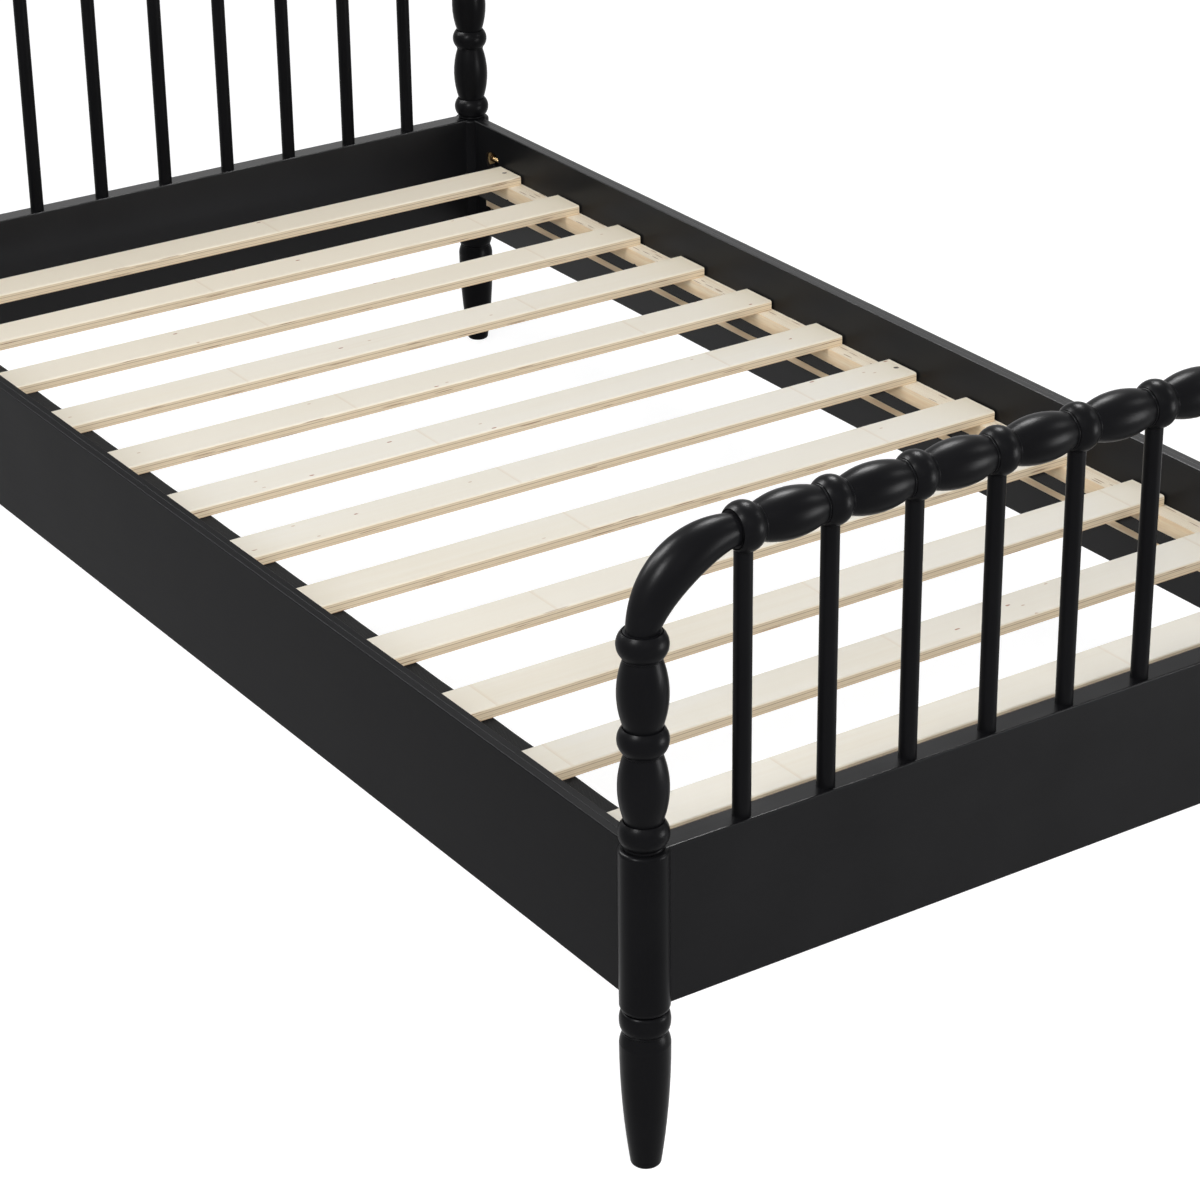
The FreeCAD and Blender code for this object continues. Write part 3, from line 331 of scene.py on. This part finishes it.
def woven_tape():
    """Black polypropylene webbing: over-and-under ribs about a millimetre wide, with a little lint."""
    finish = Finish("webbing", Specular_IOR_Level=0.04)
    x, y, _ = finish.axes()
    warp_repeat, weft_repeat = 0.0019, 0.0024
    ribs = finish.math("SINE", finish.math("MULTIPLY", x, 2 * math.pi / warp_repeat))
    picks = finish.math("SINE", finish.math("MULTIPLY", y, 2 * math.pi / weft_repeat))
    weave = finish.math("MULTIPLY", ribs, picks)
    over = finish.between(weave, -0.8, 0.8)
    lint = finish.noise(finish.place, detail=3.0, roughness=0.7, scale=480.0)
    colour = finish.mix(over, rgb(0.002, 0.002, 0.002), rgb(0.007, 0.007, 0.0075))
    colour = finish.mix(finish.between(lint, 0.52, 0.68, 0.0, 0.6), colour, rgb(0.020, 0.020, 0.021))
    finish.set("Base Color", colour)
    finish.set("Roughness", finish.between(lint, 0.3, 0.7, 0.62, 0.85))
    finish.set("Sheen Weight", 0.01)
    finish.relief((over, 0.0004), (lint, 0.0001))
    return finish.material


def plated_steel(name, colour, stain, roughness, metallic=1.0, threaded=False):
    """Zinc plating with slight staining, and a turned thread on studs."""
    finish = Finish(name, Metallic=metallic)
    x, y, z = finish.axes()
    cloud = finish.noise(finish.place, detail=3.0, scale=220.0)
    scratches = finish.noise(finish.scaled((3000.0, 600.0, 600.0)), detail=2.0)
    finish.set("Base Color", finish.mix(finish.between(cloud, 0.35, 0.7), rgb(*colour), rgb(*stain)))
    finish.set("Roughness", finish.between(scratches, 0.3, 0.7, roughness - 0.07, roughness + 0.1))
    if threaded:
        turn = finish.math("MULTIPLY", y, 2 * math.pi / BOLT_PITCH)
        thread = finish.math("SINE", finish.math("ADD", turn, finish.math("ARCTAN2", x, z)))
        finish.relief((thread, 0.00022), (scratches, 0.00002))
    else:
        finish.relief((scratches, 0.00003))
    return finish.material


def screw_black():
    """Blackened screw heads with a dark cross recess at the deck's screw places."""
    finish = Finish("black_oxide", Specular_IOR_Level=0.15)
    x, y, _ = finish.axes()
    from_first = finish.math("SUBTRACT", FIRST_SLAT_Y, y)
    row = finish.math("ROUND", finish.math("DIVIDE", from_first, SLAT_SPACING))
    from_row = finish.math("SUBTRACT", finish.math("MULTIPLY", row, SLAT_SPACING), from_first)
    across = finish.math("ABSOLUTE", finish.math("SUBTRACT", finish.math("ABSOLUTE", x), CLEAT_CENTRE_X))
    along = finish.math("ABSOLUTE", from_row)
    narrow = finish.math("MINIMUM", across, along)
    wide = finish.math("MAXIMUM", across, along)
    half_width, half_length = SCREW_CROSS_HALF_WIDTH, SCREW_CROSS_HALF_LENGTH
    soft_side, soft_end = 0.0001, 0.00015
    within_width = finish.between(narrow, half_width + soft_side, half_width - soft_side)
    within_length = finish.between(wide, half_length + soft_end, half_length - soft_end)
    cross = finish.math("MULTIPLY", within_width, within_length)
    wear = finish.noise(finish.place, detail=3.0, scale=900.0)
    colour = finish.mix(finish.between(wear, 0.4, 0.7), rgb(0.006, 0.006, 0.006), rgb(0.016, 0.015, 0.014))
    # Painted shade: the cross recess is coloured darker than the head, on top of its bump.
    finish.set("Base Color", finish.mix(cross, colour, rgb(0.003, 0.003, 0.003)))
    finish.set("Roughness", finish.between(wear, 0.3, 0.7, 0.38, 0.55))
    finish.relief((cross, -0.0005), (wear, 0.00003))
    return finish.material


def plain_birch():
    """Fluted glue dowels, which hide in the joints."""
    finish = Finish("birch")
    _, streak, fibre = wood_tones(finish, 2, 8.1)
    finish.set("Base Color", finish.colours(streak, [(0.3, (0.66, 0.52, 0.34)), (0.7, (0.78, 0.66, 0.48))]))
    finish.set("Roughness", finish.between(fibre, 0.3, 0.7, 0.6, 0.75))
    finish.relief((fibre, 0.0001))
    return finish.material


def dress(material, *names):
    """Gives a CAD node the material in every slot it has."""
    for name in names:
        mesh = nodes[name].data
        if not mesh.materials:
            mesh.materials.append(material)
        for index in range(len(mesh.materials)):
            mesh.materials[index] = material


# Painted sheen: copies of the one black paint differ only in specular level and roughness, set board by
# board for the reflection each shows.
paint_foot_panel = satin_paint("satin_black_foot_panel", 0, gloss=0.07, top_roughness=0.22)
paint_head_panel = satin_paint("satin_black_head_panel", 0, gloss=0.16, top_roughness=0.26)
paint_left_rail = satin_paint("satin_black_left_rail", 1, gloss=0.025, seam_x=RAIL_CENTRE_X)
paint_right_rail = satin_paint("satin_black_right_rail", 1, gloss=0.14, top_roughness=0.30,
                               seam_x=RAIL_CENTRE_X)
paint_across = satin_paint("satin_black_across", 0, gloss=0.03, roughness=0.32)
paint_upright = satin_paint("satin_black_upright", 2, gloss=0.03, roughness=0.32)
laminate = slat_veneer()
cleat_wood = cleat_laminate()
webbing = woven_tape()
bronze = plated_steel("zinc_yellow", (0.55, 0.38, 0.18), (0.34, 0.22, 0.10), 0.32, metallic=0.4)
# Painted shade: the nuts' plating is written far darker than the washers' because they sit in the shade of
# the rails' bolt pockets.
pocket_shade_bronze = plated_steel("zinc_yellow_pocket_shade", (0.14, 0.09, 0.045), (0.07, 0.045, 0.025), 0.45)
bronze_thread = plated_steel("zinc_yellow_thread", (0.62, 0.44, 0.22), (0.36, 0.24, 0.12), 0.30,
                             threaded=True)
bright_steel = plated_steel("bright_zinc", (0.62, 0.62, 0.63), (0.45, 0.45, 0.47), 0.30)

for name in nodes:
    if name.endswith("_panel"):
        dress(paint_head_panel if name.startswith("head") else paint_foot_panel, name)
    elif name.endswith("_top_rail"):
        dress(paint_across, name)
    elif name.startswith("side_rail"):
        dress(paint_left_rail if name.endswith("left") else paint_right_rail, name)
    elif "_post_" in name or "_corner_" in name or "_spindle_" in name:
        dress(paint_upright, name)
    elif name.startswith("slat_cleat"):
        dress(cleat_wood, name)
    elif name.startswith("slat_") and name[5:].isdigit():
        dress(laminate, name)
dress(bronze_thread, "bed_bolts")
dress(bronze, "half_moon_washers")
dress(pocket_shade_bronze, "bolt_nuts")
dress(bright_steel, "post_inserts", "strap_staples")
dress(screw_black(), "slat_screws", "cleat_screws")
dress(plain_birch(), "corner_dowels", "panel_dowels")


# ---------------------------------------------------------------- woven tapes under the slats

TAPE_WIDTH = 0.024
TAPE_THICKNESS = 0.0012
TAPE_SAG = 0.0005
CUP_SHARE = 0.35
ROWS_PER_BAY = 20
TAPE_COLUMNS = 8


def tape_drop(y):
    """How far the tape hangs below the slats: nothing under a slat, most midway between two."""
    row = round((FIRST_SLAT_Y - y) / SLAT_SPACING)
    from_slat = abs(y - (FIRST_SLAT_Y - row * SLAT_SPACING))
    free_half = (SLAT_SPACING - SLAT_WIDTH) / 2
    into_gap = max(0.0, from_slat - SLAT_WIDTH / 2) / free_half
    return TAPE_SAG * math.sin(min(into_gap, 1.0) * math.pi / 2) ** 2


def tape_section():
    """Cross-section of the tape: flat faces and rounded selvedges, as (x, z) going round."""
    half, thick = TAPE_WIDTH / 2, TAPE_THICKNESS / 2
    steps = [half * (2 * step / TAPE_COLUMNS - 1) for step in range(TAPE_COLUMNS + 1)]
    inner = [x * (1 - TAPE_THICKNESS / TAPE_WIDTH) for x in steps]
    upper = [(x, thick) for x in inner]
    lower = [(x, -thick) for x in reversed(inner)]
    return upper + [(half, 0.0)] + lower + [(-half, 0.0)]


def tape(side, name):
    """One tape as a closed mesh that follows the slats' undersides, in place of the solid's flat strip."""
    low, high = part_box(name)
    middle_x = (low[0] + high[0]) / 2
    start, end, top = low[1], high[1], high[2]
    section = tape_section()
    row_count = ROWS_PER_BAY * SLATS
    vertices, faces = [], []
    for row in range(row_count + 1):
        y = start + (end - start) * row / row_count
        drop = tape_drop(y)
        cup = CUP_SHARE * drop
        for x, z in section:
            bow = cup * (1 - (2 * x / TAPE_WIDTH) ** 2)
            vertices.append((middle_x + x, y, top - TAPE_THICKNESS / 2 + z - drop - bow))
    size = len(section)
    for row in range(row_count):
        for step in range(size):
            a, b = row * size + step, row * size + (step + 1) % size
            faces.append((a, a + size, b + size, b))
    faces.append(tuple(range(size)))
    faces.append(tuple(row_count * size + step for step in reversed(range(size))))
    mesh = bpy.data.meshes.new(f"woven_tape_{side}")
    mesh.from_pydata(vertices, [], faces)
    mesh.materials.append(webbing)
    mesh.update()
    piece = bpy.data.objects.new(f"woven_tape_{side}", mesh)
    bpy.context.scene.collection.objects.link(piece)
    for polygon in mesh.polygons:
        polygon.use_smooth = len(polygon.vertices) == 4
    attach(piece, body)
    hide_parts(name)


for side in ("left", "right"):
    tape(side, f"slat_strap_{side}")


# ---------------------------------------------------------------- floor, light and camera


FLOOR_SHADE = 0.40
FLOOR_GLOW = 0.80
ROOM_LIGHT = 0.42
ROOM_MIDDLE = Vector((0.0, 0.0, 0.4))
CAMERA_PLACE = (-2.12903107, -3.35181243, 2.00421844)
CAMERA_TURN_DEGREES = (64.13690495, 0.65156737, -33.77793466)
CAMERA_LENS_MM = 106.1307
CAMERA_SENSOR_MM = 36.0


def seen_directly(tree):
    """1 for rays from the camera, off glossy surfaces or through clear ones, and 0 for the rest."""
    path = tree.nodes.new("ShaderNodeLightPath")
    total = path.outputs["Is Camera Ray"]
    for output in ("Is Glossy Ray", "Is Transmission Ray"):
        add = tree.nodes.new("ShaderNodeMath")
        add.operation = "MAXIMUM"
        tree.links.new(total, add.inputs[0])
        tree.links.new(path.outputs[output], add.inputs[1])
        total = add.outputs[0]
    return total


def studio_floor():
    """A wide pale floor that shows white and keeps the bed's shadow."""
    material = bpy.data.materials.new("studio_floor")
    material.use_nodes = True
    tree = material.node_tree
    shader = tree.nodes["Principled BSDF"]
    shader.inputs["Base Color"].default_value = rgb(FLOOR_SHADE, FLOOR_SHADE, FLOOR_SHADE)
    shader.inputs["Roughness"].default_value = 1.0
    shader.inputs["Specular IOR Level"].default_value = 0.0
    shader.inputs["Emission Color"].default_value = rgb(1.0, 1.0, 1.0)
    glow = tree.nodes.new("ShaderNodeMath")
    glow.operation = "MULTIPLY"
    glow.inputs[1].default_value = FLOOR_GLOW
    tree.links.new(seen_directly(tree), glow.inputs[0])
    tree.links.new(glow.outputs[0], shader.inputs["Emission Strength"])
    mesh = bpy.data.meshes.new("studio_floor")
    reach = 40.0
    mesh.from_pydata([(-reach, -reach, 0), (reach, -reach, 0), (reach, reach, 0), (-reach, reach, 0)],
                     [], [(0, 1, 2, 3)])
    mesh.materials.append(material)
    floor = bpy.data.objects.new("studio_floor", mesh)
    bpy.context.scene.collection.objects.link(floor)


def studio_world():
    """Even room light, behind a background that is plain white where it is seen or mirrored."""
    world = bpy.data.worlds.new("studio")
    bpy.context.scene.world = world
    world.use_nodes = True
    tree = world.node_tree
    soft = tree.nodes["Background"]
    soft.inputs["Color"].default_value = rgb(0.98, 0.98, 1.0)
    soft.inputs["Strength"].default_value = ROOM_LIGHT
    white = tree.nodes.new("ShaderNodeBackground")
    white.inputs["Color"].default_value = rgb(1.0, 1.0, 1.0)
    white.inputs["Strength"].default_value = 1.0
    mix = tree.nodes.new("ShaderNodeMixShader")
    tree.links.new(seen_directly(tree), mix.inputs["Fac"])
    tree.links.new(soft.outputs[0], mix.inputs[1])
    tree.links.new(white.outputs[0], mix.inputs[2])
    tree.links.new(mix.outputs[0], tree.nodes["World Output"].inputs["Surface"])


def softbox(name, toward, distance, width, radiance, light_up=True, sheen=True):
    """A square softbox that faces the room's middle, for plain light, for sheen or for both."""
    way = Vector(toward).normalized()
    light = bpy.data.lights.new(name, "AREA")
    light.shape = "SQUARE"
    light.size = width
    light.energy = 4.0 * radiance * width ** 2
    lamp = bpy.data.objects.new(name, light)
    lamp.location = ROOM_MIDDLE + way * distance
    lamp.rotation_euler = way.to_track_quat("Z", "Y").to_euler()
    lamp.visible_camera = False
    lamp.visible_diffuse = light_up
    lamp.visible_glossy = sheen
    bpy.context.scene.collection.objects.link(lamp)


studio_floor()
studio_world()
softbox("top_softbox", (-0.15, 0.25, 0.95), 4.0, 1.2, 6.5, sheen=False)
softbox("left_fill", (-0.86, -0.10, 0.50), 5.0, 2.0, 4.2, sheen=False)
softbox("front_fill", (-0.25, -0.80, 0.52), 5.0, 2.4, 7.0, sheen=False)
softbox("left_card", (-0.42, 0.49, 0.76), 4.0, 1.2, 72.0, light_up=False)
softbox("low_left_card", (-0.69, -0.31, 0.65), 4.0, 0.9, 80.0, light_up=False)
softbox("top_card", (0.38, 0.30, 0.87), 4.0, 1.2, 62.0, light_up=False)
softbox("right_card", (0.68, -0.45, 0.55), 4.0, 0.9, 12.0, light_up=False)
softbox("low_front_card", (0.555, -0.826, 0.0), 3.2, 1.0, 22.0, light_up=False)
softbox("rim_card", (-0.44, 0.76, 0.48), 4.0, 1.0, 30.0, light_up=False)

camera_data = bpy.data.cameras.new("photo_camera")
camera_data.lens = CAMERA_LENS_MM
camera_data.sensor_width = CAMERA_SENSOR_MM
camera = bpy.data.objects.new("photo_camera", camera_data)
camera.location = CAMERA_PLACE
camera.rotation_euler = Euler([math.radians(angle) for angle in CAMERA_TURN_DEGREES], "XYZ")
bpy.context.scene.collection.objects.link(camera)
bpy.context.scene.camera = camera
bpy.context.scene.view_settings.view_transform = "Standard"
